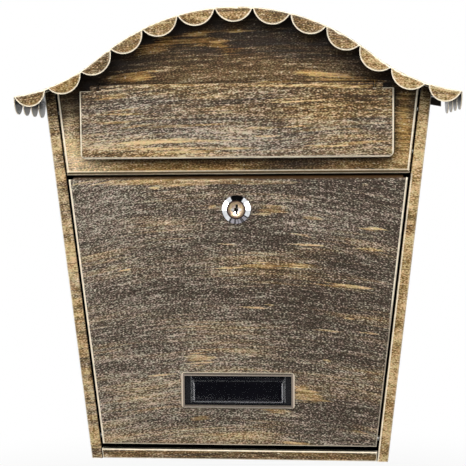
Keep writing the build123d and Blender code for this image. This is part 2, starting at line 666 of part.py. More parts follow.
def lock_nut():
    nut_front = BODY_DEPTH - SHEET - WASHER
    hexagon = Pos(0, LOCK_Y) * RegularPolygon(NUT_FLATS / 2, 6, major_radius=False)
    return prism(hexagon, nut_front - NUT, nut_front) - disc(
        BARREL_RADIUS + TIGHT, nut_front - NUT - PAST, nut_front + PAST, 0, LOCK_Y)


def wafer_places():
    """The middle of each wafer, along the plug from its face."""
    first = PLUG_FACE - FIRST_WAFER
    step = (first - SCREW_END - LAST_WAFER) / (WAFERS - 1)
    return [first - index * step for index in range(WAFERS)]


def keyway():
    """The stepped slot for the key, through all the wafers."""
    third = KEYWAY_HEIGHT / 3
    end = wafer_places()[-1] - WAFER
    slot = Part()
    for step, side in enumerate((1, -1, 1)):
        low = LOCK_Y - KEYWAY_HEIGHT / 2 + step * third
        x = side * KEYWAY_JOG - KEYWAY_JOG / 3
        slot += block(
            (x - KEYWAY_WIDTH / 2, x + KEYWAY_WIDTH / 2),
            (low, low + third),
            (end, PLUG_FACE + PAST))
    return slot


def lock_plug():
    """The turning plug: dished head, keyway, wafer slots, square tail and a hole for the cam's screw."""
    tail_end = CAM_FRONT - CAM
    plug = disc(PLUG_HEAD_RADIUS, PLUG_FACE - PLUG_HEAD, PLUG_FACE, 0, LOCK_Y)
    plug += disc(PLUG_RADIUS, CAM_FRONT, PLUG_FACE - PLUG_HEAD, 0, LOCK_Y)
    half = TAIL_SQUARE / 2
    plug += block((-half, half), (LOCK_Y - half, LOCK_Y + half), (tail_end, CAM_FRONT))
    dish = Pos(0, LOCK_Y, PLUG_FACE - DISH_DEPTH / 2) * Cone(KEYWAY_WIDTH, DISH_RADIUS, DISH_DEPTH)
    plug -= dish
    plug -= keyway()
    for middle in wafer_places():
        reach = WAFER_WIDTH / 2 + FIT
        thick = WAFER / 2 + FIT
        plug -= block(
            (-reach, reach),
            (LOCK_Y - PLUG_RADIUS, LOCK_Y + PLUG_RADIUS),
            (middle - thick, middle + thick))
    return plug - disc(SCREW_RADIUS + TIGHT, tail_end - PAST, SCREW_END, 0, LOCK_Y)


def lock_wafers():
    """The thin plates that the key lifts, each with a window for the key."""
    half = WAFER_WIDTH / 2
    reach = sqrt(PLUG_RADIUS ** 2 - half ** 2) - WAFER_SHY
    plates = Part()
    for middle in wafer_places():
        z_range = (middle - WAFER / 2, middle + WAFER / 2)
        plate = block((-half, half), (LOCK_Y - reach, LOCK_Y + reach), z_range)
        window = block(
            (-half + WAFER_RIM, half - WAFER_RIM),
            (LOCK_Y - reach + WAFER_RIM, LOCK_Y + reach - WAFER_RIM),
            (middle - PAST, middle + PAST))
        plates += plate - window
    return plates


def lock_cam():
    """The flat cam on the plug's square tail, turned to the left as it stands when unlocked."""
    reach = PANEL_LOW - LOCK_Y + CAM_OVERLAP
    root = CAM_WIDTH / 2
    tip = CAM_TIP_WIDTH / 2
    arm = Polygon(
        (0, LOCK_Y + root), (-root, LOCK_Y + root), (-reach, LOCK_Y + tip),
        (-reach, LOCK_Y - tip), (-root, LOCK_Y - root), (0, LOCK_Y - root), align=None)
    cam = prism(arm, CAM_FRONT - CAM, CAM_FRONT) + disc(root, CAM_FRONT - CAM, CAM_FRONT, 0, LOCK_Y)
    half = TAIL_SQUARE / 2 + TIGHT
    through = (CAM_FRONT - CAM - PAST, CAM_FRONT + PAST)
    return cam - block((-half, half), (LOCK_Y - half, LOCK_Y + half), through)


def cam_washer():
    front = CAM_FRONT - CAM
    return disc(CAM_WASHER_RADIUS, front - CAM_WASHER, front, 0, LOCK_Y) - disc(
        SCREW_RADIUS + FIT, front - CAM_WASHER - PAST, front + PAST, 0, LOCK_Y)


def cam_screw():
    """The slotted screw that holds the cam on the plug."""
    seat = SCREW_SEAT
    head = disc(SCREW_HEAD_RADIUS, seat - SCREW_HEAD, seat, 0, LOCK_Y)
    head = fillet(head.edges().sort_by(Axis.Z)[0], SCREW_HEAD / 3)
    slot = block(
        (-SCREW_HEAD_RADIUS, SCREW_HEAD_RADIUS),
        (LOCK_Y - SCREW_SLOT / 2, LOCK_Y + SCREW_SLOT / 2),
        (seat - SCREW_HEAD - PAST, seat - SCREW_HEAD / 2))
    return head - slot + disc(SCREW_RADIUS, seat, SCREW_END, 0, LOCK_Y)


def stand_up(piece):
    """Turn a piece upright: Z up, front to -Y, the wall at Y = 0, the origin amid the screw holes."""
    return Location(Plane((0, 0, -MOUNT_Y), x_dir=(1, 0, 0), z_dir=(0, -1, 0))) * piece


def main():
    right_side = side_panel()
    right_pin = door_hinge_pin()
    pieces = {
        "back_panel": back_panel(),
        "left_side_panel": mirrored(right_side),
        "right_side_panel": right_side,
        "bottom_panel": bottom_panel(),
        "upper_front_panel": upper_front_panel(),
        "front_panel_rivets": front_panel_rivets(),
        "roof": roof(),
        "left_door_hinge_pin": mirrored(right_pin),
        "right_door_hinge_pin": right_pin,
        "door_panel": door_panel(),
        "name_gasket": name_gasket(),
        "name_holder": name_holder(),
        "name_window": name_window(),
        "name_card": name_card(),
        "lock_housing": lock_housing(),
        "lock_washer": lock_washer(),
        "lock_nut": lock_nut(),
        "lock_plug": lock_plug(),
        "lock_wafers": lock_wafers(),
        "lock_cam": lock_cam(),
        "cam_washer": cam_washer(),
        "cam_screw": cam_screw(),
        "mail_flap": mail_flap(),
        "flap_hinge_rod": flap_hinge_rod(),
    }
    os.makedirs("parts", exist_ok=True)
    for name, piece in pieces.items():
        export_step(stand_up(piece), f"parts/{name}.step")


main()
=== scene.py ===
import math

import bpy
from mathutils import Matrix, Vector

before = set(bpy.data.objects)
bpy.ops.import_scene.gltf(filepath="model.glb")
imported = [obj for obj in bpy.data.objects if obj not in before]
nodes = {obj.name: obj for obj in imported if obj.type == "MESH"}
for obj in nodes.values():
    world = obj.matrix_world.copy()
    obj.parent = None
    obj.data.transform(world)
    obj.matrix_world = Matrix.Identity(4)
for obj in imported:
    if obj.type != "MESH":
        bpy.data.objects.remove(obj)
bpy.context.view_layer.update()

# Camera, fitted to the photograph's straight edges
CAMERA_AT = (0.05877, -0.92330, 0.09385)
CAMERA_TURN = 4.2275          # degrees to the left
CAMERA_PITCH = -4.2968        # degrees, down
CAMERA_ROLL = 0.479
FOCAL_PIXELS = 1018.37
IMAGE_PIXELS = 466
SENSOR = 36.0

# Studio, in metres
FLOOR_Z = -0.55
FLOOR_NEAR = 0.8
FLOOR_FAR = 1.6
FLOOR_REACH = 12.0
LAMP_AIM = (0.0, -0.05, 0.03)
FRONT_CARD_Y = -1.9
LOW_CARD_Z = -0.5
TOP_CARD_Z = 1.4
AMBIENT = 0.12                # strength of the white surroundings as a light

# Patterns in repeats per metre
BROAD = (7.0, 7.0, 70.0)
LONG = (18.0, 18.0, 560.0)
SHORT = (44.0, 44.0, 460.0)
WANDER = (13.0, 13.0, 18.0)
PATCH = (9.0, 9.0, 24.0)
SPOTS = (190.0, 190.0, 150.0)
GRAIN = (600.0, 600.0, 1700.0)
FLECKS = (420.0, 420.0, 900.0)
TINT = (260.0, 260.0, 420.0)
PEEL = (650.0, 650.0, 650.0)
RUBBED = (260.0, 260.0, 260.0)
CLOUDING = (220.0, 220.0, 220.0)
SCRATCHES = (3200.0, 900.0, 260.0)
PLUG_MOTTLE = (520.0, 520.0, 520.0)
PLASTIC_GRAIN = (1800.0, 1800.0, 1800.0)
COAT_MOTTLE = (55.0, 55.0, 55.0)
COAT_GRAIN = (950.0, 950.0, 950.0)
SCUFFS = (26.0, 26.0, 950.0)
SCUFFED = (24.0, 24.0, 24.0)
HAZE = (180.0, 180.0, 180.0)
CARD_PATCHES = (9.0, 9.0, 9.0)
NOISE_SPREAD = 14.0           # turns a noise of 0 to 1 into one with a spread of about 1

# Tone of the brushed coat, where 0 is its middle colour
DARKEST = -2.4
LIGHTEST = 2.5
PAINTED_SHADE_TONE = -0.8            # painted shade in corners and under what stands over the surface
# Painted shade on the flap's top below the roof
FLAP_TOP_SHADE_TONE = -0.4
# Painted shade on the left side under the eaves
LEFT_EAVE_SHADE_TONE = -1.4
CROWN_TONE = 0.10
# Painted shade on the crown under the roof, where no stroke lies
CROWN_SHADE_TONE = -1.25
CROWN_SHADE_WARMTH = -0.45

# Where the marks, the gold and the wear begin, and where they are full
STROKE_FILL = (0.35, 1.35)
PANEL_STROKE_FILL = (0.1, 2.2)
LINE_FILL = (0.35, 1.25)
STROKE_FADE = (0.0, 0.2)
SHADED_OPENNESS = (0.86, 0.42)      # openness of the surface at which the painted shade begins and at which it is full
MOST_OF_SWING = (-1.5, 1.5)
FLECK_PEAK = (0.74, 0.80)
FLECK_TONE = (-1.4, 0.6)
BENT = (0.985, 0.86)          # largest part of the surface's direction
EDGE_TURN = (0.998, 0.92)     # likeness of the surface's direction and the rounded one
RUB = (0.30, 0.60)
COVERED = (0.02, 0.12)        # how far the surface turns outwards

# Gloss, and strength and depth of each bump
COAT_ROUGHNESS = (0.52, 0.40)
INNER_ROUGHNESS = 0.24
COAT_GLOSS = 0.12
PEEL_BUMP = (0.25, 0.0004)
SCRATCH_BUMP = (0.06, 0.0001)
PLASTIC_BUMP = (0.08, 0.0001)

# Places on the pieces, in metres
WANDER_HEIGHT = 0.0004        # how far strokes stray
SHADE_REACH = 0.030           # how far from what stands over the surface the painted shade reaches
SHARP = 0.0001                # half the blur of a line between two colours
CRISP = 0.0002
BLURRED = 0.0003
EDGE_RADIUS = 0.0013          # reach of the wear along cut edges
ROOF_EDGE_RADIUS = 0.0024
BACK_EDGE_RADIUS = 0.0012
FRONT_Y = -0.088
AHEAD_Y = (-0.060, -0.065)    # the front strips and the lip lie ahead of this
FLAP_TOP_Z = 0.1479
FLAP_LOW_Z = 0.0925
FLAP_SIDE_X = 0.1279
FLAP_TOP_SHADE_Z = (0.130, FLAP_TOP_Z)
FLAP_ROLL_Z = (FLAP_TOP_Z + 0.0005, FLAP_TOP_Z - 0.0005)
FLAP_SHADOW_LEFT_X = (-0.122, -0.102)
FLAP_SHADOW_RIGHT_X = (FLAP_SIDE_X + 0.001, FLAP_SIDE_X - 0.003)
FLAP_SHADOW_LOW_Z = (FLAP_LOW_Z - 0.0048, FLAP_LOW_Z - 0.0008)
FLAP_SHADOW_TOP_Z = (FLAP_TOP_Z, FLAP_LOW_Z)
BORDER = 0.0013               # worn border on the flap's face
DOOR_TOP_Z = 0.0782
DOOR_LINE = (0.0004, 0.0018)  # painted highlight along the inside of the door's side edges
DOOR_LINE_Z = (-0.058, -0.015)
DOOR_LINE_X = (0.0, -0.01)
DOOR_EDGE_Z = (DOOR_TOP_Z - 0.007, DOOR_TOP_Z - 0.009)
DOOR_UPPER_Z = (0.0, 0.001)
BESIDE_DOOR_Z = (DOOR_TOP_Z + 0.002, DOOR_TOP_Z)
# Painted shade on the door's top bend, fuller towards the right
TOP_SHADE_X = (-0.14, -0.02)
# Two pale lines along the panel's lower bend, wear with painted highlights, a line of painted shade between
# them, and painted shade below them in the gap above the door
PANEL_HIGH_HIGHLIGHT_Z = (0.0818, 0.0828)
PANEL_SHADE_LINE_Z = (0.0802, 0.0818)
PANEL_LOW_HIGHLIGHT_Z = (0.0795, 0.0802)
PANEL_END_Z = (PANEL_LOW_HIGHLIGHT_Z[0] + SHARP, PANEL_LOW_HIGHLIGHT_Z[0] - SHARP)
PANEL_LINE = (0.0006, 0.0022)
# Painted highlight along the inner edge of the right strip beside the door
STRIP_LINE = (-0.0014, -0.0004)
STRIP_LINE_Z = (0.02, -0.04)
LEFT_EAVE_SHADE_Z = (0.112, 0.142)
LIP_Z = (-0.154, -0.1525)
CROWN_LOW_Z = 0.147
CROWN_Z = (CROWN_LOW_Z, CROWN_LOW_Z + 0.008)
CROWN_EDGE_Z = (CROWN_LOW_Z, CROWN_LOW_Z - 0.001)
CROWN_MIDDLE_X = 0.006        # middle of the arc of painted shade under the roof
CROWN_MIDDLE_Z = 0.0384
CROWN_SHADE_DISTANCE = (0.146, 0.175)   # distance from there at which the painted shade under the roof begins and is full
SIDE_LEAN = 0.11217           # outwards per metre of height
STRIP_SIDE_X = 0.13315        # inner edge of a side panel's strip at the frame's middle height
PANEL_SIDE_X = 0.13215        # and the edges of the pieces beside it
DOOR_SIDE_X = 0.13155
RIM_Y = (FRONT_Y - 0.0001, FRONT_Y - 0.0004)
RIM_SIDE_X = 0.04695          # outer edges of the rim round the name opening
RIM_TOP_LINE_Z = (-0.0885, -0.0876)
RIM_LOW_LINE_Z = (-0.1156, -0.1143)
RIM_BROWN_X = (0.0024, 0.0022)     # inside those outer edges
RIM_SIDE_HIGHLIGHT_X = (0.0013, 0.0007)
TIP_X = (0.172, 0.175)        # where the painted reflection of the white surroundings shows on the inner side of the scallops at the roof's ends
TIP_Y = (-0.095, -0.02)
TIP_Z = (0.142, 0.135)
LOCK_Z = 0.0503
REFLECTION_REACH = (0.0050, 0.0044)  # painted reflection: a bright diamond round the keyway
REFLECTION_TOP = (0.0016, 0.0002)
# Painted shade in a ring between the plug and the housing
PLUG_SHADE_RING_RADIUS = (0.0064, 0.0069)
KEYWAY_X = (-0.000867, 0.000433)   # middle of its middle third, and of its upper and lower one
KEYWAY_HALF = 0.00085
KEYWAY_STEP_Z = 0.0014        # from the lock's middle
KEYWAY_TOP_Z = 0.0042
KEYWAY_BLUR = (0.0001, 0.00002)
SCREW_X = 0.090
SCREW_Z = 0.110
SCREW_PRESSED = (0.0082, 0.0066)
# Painted highlights along the pane's bevels
PANE_LINES_X = (0.0395, 0.0369)
PANE_MITRE_Z = (-0.0955, -0.0930)
PANE_LOW_Z = -0.1111
PANE_LINE = 0.0006            # half the width of a painted highlight along the pane's bevels

# Dark, middle and light colour where the coat is brown, and where gold is left on it
BROWN = ((0.030, 0.0215, 0.0155, 1), (0.112, 0.086, 0.065, 1), (0.490, 0.430, 0.362, 1))
GOLDEN = ((0.048, 0.022, 0.004, 1), (0.248, 0.145, 0.045, 1), (0.660, 0.495, 0.275, 1))
AMBER = ((0.044, 0.019, 0.004, 1), (0.235, 0.115, 0.026, 1), (0.600, 0.390, 0.150, 1))
# Painted shade in corners, under what stands over the surface and in the gap above the door
PAINTED_SHADE_COLOUR = (0.0095, 0.0062, 0.0042, 1)
# Painted shade on the door's top bend, under the panel
TOP_SHADE_BROWN = (0.058, 0.029, 0.010, 1)
# Painted shade on the panel's lower bend
BEND_SHADE_BROWN = (0.105, 0.070, 0.032, 1)
CREAM = (0.940, 0.840, 0.650, 1)
# The rim round the name opening, painted as a rounded bead in light and shade: dark on its top and bottom,
# lighter on its sides, with painted highlights on its outer side edges and in lines along its top and
# bottom
RIM_DARK = (0.100, 0.080, 0.064, 1)
RIM_BROWN = (0.225, 0.183, 0.150, 1)
RIM_LINE_HIGHLIGHT = (0.340, 0.290, 0.245, 1)
RIM_SIDE_HIGHLIGHT = (0.680, 0.570, 0.460, 1)
TIP_REFLECTION_GREY = (0.800, 0.830, 0.870, 1)
PINKER = (1.06, 0.98, 0.97)
GREENER = (0.96, 1.015, 0.95)
INNER_COAT = (0.012, 0.011, 0.0105, 1)
INNER_GREY = (0.030, 0.028, 0.027, 1)

# Colours of the other materials
CHROME = (0.80, 0.81, 0.83, 1)
WAFER_BRASS = (0.78, 0.60, 0.32, 1)
ZINC = (0.62, 0.62, 0.60, 1)
# Painted shade inside the keyway
KEYWAY_SHADE = (0.006, 0.005, 0.0045, 1)
PLUG_GOLD = (0.800, 0.620, 0.340, 1)
PLUG_PINK = (0.500, 0.330, 0.270, 1)
# Painted shade in a ring between the plug and the housing
PLUG_SHADE_RING = (0.170, 0.090, 0.080, 1)
# Painted reflection round the keyway
PLUG_REFLECTION = (0.940, 0.900, 0.860, 1)
COAT_BLACK = (0.014, 0.0125, 0.0115, 1)
COAT_BROWN = (0.036, 0.029, 0.023, 1)
COAT_LIGHT = (0.060, 0.052, 0.045, 1)
COAT_WORN = (0.150, 0.125, 0.100, 1)
HOLDER_BLACK = (0.006, 0.006, 0.0075, 1)
FOAM_BLACK = (0.010, 0.010, 0.011, 1)
CARD_BLACK = (0.0090, 0.0090, 0.0125, 1)
PANE_CLEAR = (0.96, 0.97, 1.0, 1)
FLOOR_PALE = (0.88, 0.88, 0.88, 1)
STUDIO_BLACK = (0.01, 0.01, 0.01, 1)
STUDIO_DARK = (0.02, 0.02, 0.02, 1)
STUDIO_GREY = (0.44, 0.41, 0.43, 1)

# Strokes where the brush left gold: middle x and z, half length, half height and rise, in millimetres
DOOR_STROKES = (
    (-88, 73, 64, 4.5, 0), (-40, 73, 50, 4.0, 0), (10, 73, 56, 4.0, 0), (28, 50, 22, 4.0, 0),
    (61, 43, 12, 2.0, -1), (110, 34, 25, 2.6, -2), (30, 4, 44, 3.2, 0), (92, -13, 34, 2.4, -3),
    (-32, -74, 16, 9.0, 3), (53, -103, 9, 11.0, 0), (60, -105, 11, 7.0, -2), (68, -108, 14, 3.5, -1),
    (34, -117, 19, 3.0, 0), (-33, -125, 14, 4.0, 2), (49, -145, 15, 2.5, 0), (100, -134, 16, 2.0, -3),
)
DOOR_LINES = (
    (109, 17, 19, 2.1, -2.6), (90, -12.5, 15, 2.2, -1.3), (104, -14.5, 15, 1.5, -1.4),
    (113, 34, 19, 1.5, -1.3), (54, 29, 14, 1.4, -2.3), (74, -50, 24, 1.4, -1.3),
    (109, -52, 12, 1.3, -1.3), (74, -75, 7, 1.9, -1.4), (13, -31, 20, 1.2, -1.3),
    (27, -29, 6, 1.6, -1.4), (-5, 2, 17, 1.5, 0.8), (52, 4, 12, 1.4, -0.6), (-93, 0, 8, 1.3, 1.1),
    (22, 46, 12, 1.5, -0.4), (-20, 53, 6, 1.6, 0.3), (-67, 68, 6, 1.6, -0.4), (105, 70, 5, 1.4, -0.2),
    (92, -40, 8, 1.3, -0.7), (55, 21, 20, 1.1, -1.1), (-63, -88, 15, 1.2, 1.5), (-6, 21, 12, 1.2, -1.2),
)
PANEL_STROKES = (
    (-66, 184, 24, 7.5, 6), (-41, 189, 28, 7.5, 0), (-13, 184, 25, 7.5, -8), (-26, 195, 24, 3.0, 2),
    (2, 196, 16, 2.2, 0), (-76, 160, 17, 6.0, 1), (60, 161, 16, 4.0, -1), (112, 153, 12, 3.0, 0),
    (-61, 83, 78, 2.6, 0), (84, 155, 34, 8.0, 0), (-90, 158, 24, 8.0, 0), (40, 152, 30, 4.0, 0),
    (136, 122, 8, 40.0, 0),
)
FLAP_STROKES = (
    (-98, 143, 22, 2.5, 3), (-92, 132, 28, 2.2, 1), (-99, 122, 22, 2.0, 0), (-56, 119, 50, 2.4, 1),
    (-43, 107, 64, 3.0, 2), (-20, 99, 52, 2.2, 2), (26, 117, 23, 2.0, 1), (97, 115, 13, 2.0, -1),
    (86, 150, 42, 3.0, 0), (99, 104, 26, 2.0, 2),
)
FLAP_LINES = (
    (-90, 129, 35, 1.4, -0.2), (-21, 120, 25, 1.3, 0.5), (-62, 106, 50, 1.7, 0.5),
    (-66, 100.7, 54, 1.3, 0.1), (48, 117.7, 24, 1.3, 0.6), (53, 138, 25, 1.2, 1.1),
    (-107, 142, 17, 1.3, 2.0), (45, 150.4, 80, 1.5, -0.6), (27, 110.3, 26, 1.2, 0.7),
    (75, 101.6, 26, 1.1, -0.3),
)

# Where the brush was fuller or drier: middle x and z, half length and half height in millimetres, and tone
DOOR_CLOUDS = (
    (-114, 54, 38, 34, 1.2), (84, 40, 70, 18, 1.1), (62, -22, 62, 55, -0.8), (20, -2, 45, 16, -0.7),
    (-40, -84, 60, 40, 0.4), (0, -82, 60, 16, 0.3), (-30, 74, 110, 7, 0.5),
)
PANEL_CLOUDS = (
    (-20, 87, 150, 10, -0.6), (88, 166, 34, 22, 1.0), (-10, 172, 60, 18, -0.4),
    (-124, 88, 36, 20, 4.2), (-138, 112, 15, 44, 2.7),
)
FLAP_CLOUDS = (
    (-88, 107, 75, 16, 0.8), (4, 107, 80, 16, 1.2), (104, 137, 62, 20, -1.7), (-94, 95.5, 50, 4.5, -1.6),
    (-122, 146, 24, 11, -1.0), (15, 134, 50, 9, -0.6), (-80, 137, 34, 11, 0.8), (88, 118, 56, 11, 0.9),
)

# Weights of the grain, the short and long brush marks, the broad bands, the patches and the spots
FINE = (0.76, 0.54, 0.18, 0.18, 0.12, 0.0)
SOFT = (0.50, 0.62, 0.22, 0.24, 0.12, 0.0)
STREAKED = (0.62, 0.58, 0.28, 0.16, 0.06, 0.0)
EVEN = (0.60, 0.44, 0.16, 0.22, 0.18, 0.36)
BANDED = (0.66, 0.30, 0.26, 0.34, 0.10, 0.45)


class Graph:
    """The nodes of one material. A socket takes a plain value or another node's output."""

    def __init__(self, name):
        self.material = bpy.data.materials.new(name)
        self.material.use_nodes = True
        self.nodes = self.material.node_tree.nodes
        self.links = self.material.node_tree.links
        self.shader = self.nodes["Principled BSDF"]

    def put(self, socket, value):
        if isinstance(value, bpy.types.NodeSocket):
            self.links.new(value, socket)
        else:
            socket.default_value = value

    def set(self, **values):
        for name, value in values.items():
            self.put(self.shader.inputs[name.replace("_", " ")], value)

    def add(self, kind, *values, **settings):
        node = self.nodes.new("ShaderNode" + kind)
        for name, value in settings.items():
            setattr(node, name, value)
        for socket, value in zip(node.inputs, values):
            if value is not None:
                self.put(socket, value)
        return node.outputs[0]

    def math(self, operation, a, b=None, c=None, clamp=False):
        return self.add("Math", a, b, c, operation=operation, use_clamp=clamp)

    def times(self, first, *others):
        for other in others:
            first = self.math("MULTIPLY", first, other)
        return first

    def plus(self, a, b):
        return self.math("ADD", a, b)

    def minus(self, a, b):
        return self.math("SUBTRACT", a, b)

    def size(self, value):
        """The value without its sign."""
        return self.math("ABSOLUTE", value)

    def most(self, first, *others):
        for other in others:
            first = self.math("MAXIMUM", first, other)
        return first

    def length(self, a, b):
        """The length of a line that goes a one way and b the other."""
        return self.math("SQRT", self.plus(self.times(a, a), self.times(b, b)))

    def total(self, *weighted):
        """The sum of (value, weight) pairs."""
        result = 0.0
        for value, weight in weighted:
            result = self.math("MULTIPLY_ADD", value, weight, result)
        return result

    def step(self, value, low, high, to_low=0.0, to_high=1.0):
        """A smooth step of the value from low to high."""
        return self.add("MapRange", value, low, high, to_low, to_high,
                        interpolation_type="SMOOTHSTEP")

    def between(self, value, low, high, blur=CRISP):
        """1 between two places."""
        return self.times(self.step(value, low - blur, low + blur),
                          self.step(value, high + blur, high - blur))

    def ramp(self, value, low, high):
        """0 at low, 1 at high and straight in between."""
        return self.add("MapRange", value, low, high, 0.0, 1.0)

    def mix(self, factor, a, b):
        node = self.nodes.new("ShaderNodeMix")
        node.data_type = "RGBA"
        self.put(node.inputs[0], factor)
        self.put(node.inputs[6], a)
        self.put(node.inputs[7], b)
        return node.outputs[2]

    def scale(self, colour, factor):
        node = self.nodes.new("ShaderNodeVectorMath")
        node.operation = "SCALE"
        self.put(node.inputs[0], colour)
        self.put(node.inputs["Scale"], factor)
        return node.outputs[0]

    def tinted(self, colour, tint):
        return self.add("VectorMath", colour, tint, operation="MULTIPLY")

    def split(self, vector):
        node = self.nodes.new("ShaderNodeSeparateXYZ")
        self.links.new(vector, node.inputs[0])
        return node.outputs

    def place(self):
        """Where a point is on the piece, in the part's frame at rest."""
        return self.nodes.new("ShaderNodeTexCoord").outputs["Object"]

    def facing(self):
        """The surface's direction, turning with the piece."""
        return self.nodes.new("ShaderNodeTexCoord").outputs["Normal"]

    def noise(self, vector, sizes, detail=2.0, roughness=0.5, offset=0.0):
        scaled = self.add("VectorMath", vector, sizes, operation="MULTIPLY")
        if offset:
            scaled = self.add("VectorMath", scaled, (offset, offset, offset), operation="ADD")
        return self.add("TexNoise", scaled, None, 1.0, detail, roughness)

    def swing(self, *noise_settings, **more):
        """A noise about 0, mostly from -2 to 2."""
        plain = self.noise(*noise_settings, **more)
        return self.math("MULTIPLY_ADD", plain, NOISE_SPREAD, -NOISE_SPREAD / 2)

    def peaked(self, value, amount):
        """A swing with narrow light peaks on a wide dark ground."""
        return self.total((value, 1.0), (self.times(value, value), amount), (1.0, -amount))

    def within(self, place, strokes):
        """How much a point lies within the listed strokes."""
        result = 0.0
        for x, z, half_length, half_height, rise in strokes:
            node = self.nodes.new("ShaderNodeMapping")
            node.vector_type = "TEXTURE"
            self.put(node.inputs["Vector"], place)
            node.inputs["Location"].default_value = (x / 1000, FRONT_Y, z / 1000)
            node.inputs["Rotation"].default_value = (0, -math.atan2(rise, half_length), 0)
            node.inputs["Scale"].default_value = (half_length / 1000, 1, half_height / 1000)
            near = self.add("TexGradient", node.outputs[0], gradient_type="SPHERICAL")
            result = self.plus(near, result)
        return result

    def clouded(self, place, clouds):
        """How much fuller the brush was at a point."""
        result = 0.0
        for *at, tone in clouds:
            result = self.math("MULTIPLY_ADD", self.within(place, [(*at, 0)]), tone, result)
        return result

    def worn_edge(self, radius):
        """1 along sharp edges, 0 on the flat."""
        rounded = self.add("Bevel", radius, samples=8)
        plain = self.nodes.new("ShaderNodeNewGeometry").outputs["Normal"]
        node = self.nodes.new("ShaderNodeVectorMath")
        node.operation = "DOT_PRODUCT"
        self.put(node.inputs[0], rounded)
        self.put(node.inputs[1], plain)
        return self.step(node.outputs["Value"], *EDGE_TURN)

    def openness(self, distance):
        """1 in the open, less in corners and under what stands over the surface; it sets the painted shade.
        """
        return self.add("AmbientOcclusion", (1, 1, 1, 1), distance, samples=8).node.outputs["AO"]

    def bump(self, height, strength, distance):
        node = self.nodes.new("ShaderNodeBump")
        node.inputs["Strength"].default_value = strength
        node.inputs["Distance"].default_value = distance
        self.put(node.inputs["Height"], height)
        self.put(self.shader.inputs["Normal"], node.outputs[0])


